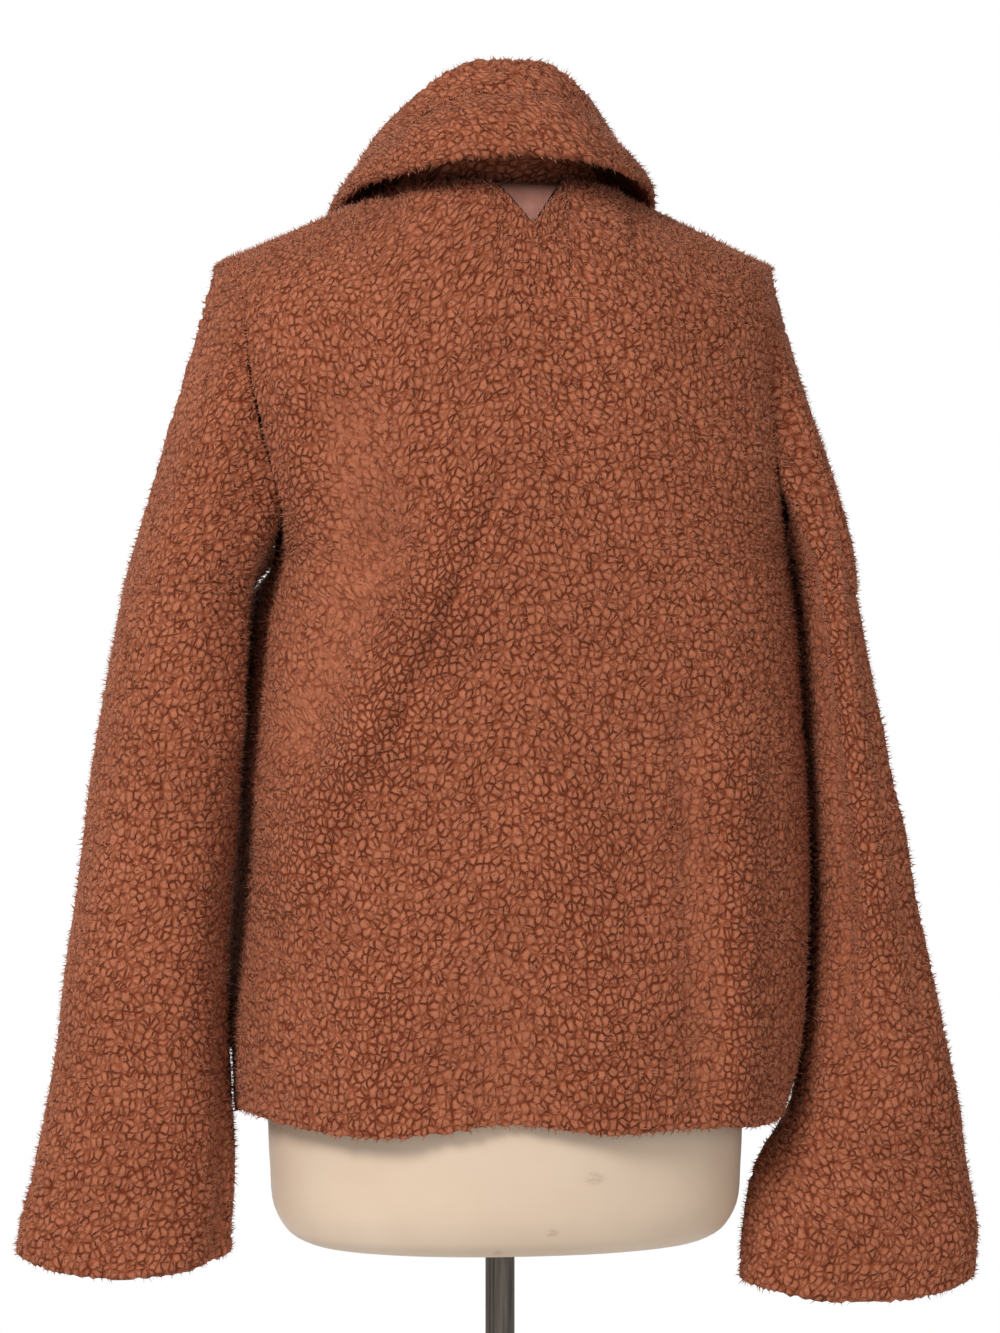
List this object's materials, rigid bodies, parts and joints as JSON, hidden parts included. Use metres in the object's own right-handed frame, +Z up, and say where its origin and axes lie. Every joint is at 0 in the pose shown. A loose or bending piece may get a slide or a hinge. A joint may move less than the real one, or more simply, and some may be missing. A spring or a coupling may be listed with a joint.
{
  "type": "sherpa jacket on a dress form",
  "caption": "Short pile jacket with a wide turned-over collar, set-in sleeves and a lapped front, worn by a limbless dress form on a pole and round foot.",
  "frame": {"origin": "centre of the underside of the stand's round foot, on the pole's axis", "axes": "+Z up along the pole, the jacket's front faces -Y and its back +Y, the wearer's left is +X"},
  "size_m": [0.6452, 0.32, 1.3368],
  "materials": {
    "sherpa": "deep pebbled pile, matt with soft fibre tips",
    "patch": "smooth fine-grained faux leather, soft sheen",
    "form_cover": "smooth stretched cover with light scuffs",
    "steel": "dark nickel, satin"
  },
  "bodies": {
    "root": {"back": "sherpa", "front_left": "sherpa", "front_right": "sherpa", "sleeve_left": "sherpa", "sleeve_right": "sherpa", "collar": "sherpa", "neck_patch": "patch", "form_torso": "form_cover", "stand_pole": "steel", "stand_foot": "steel"}
  },
  "joints": []
}
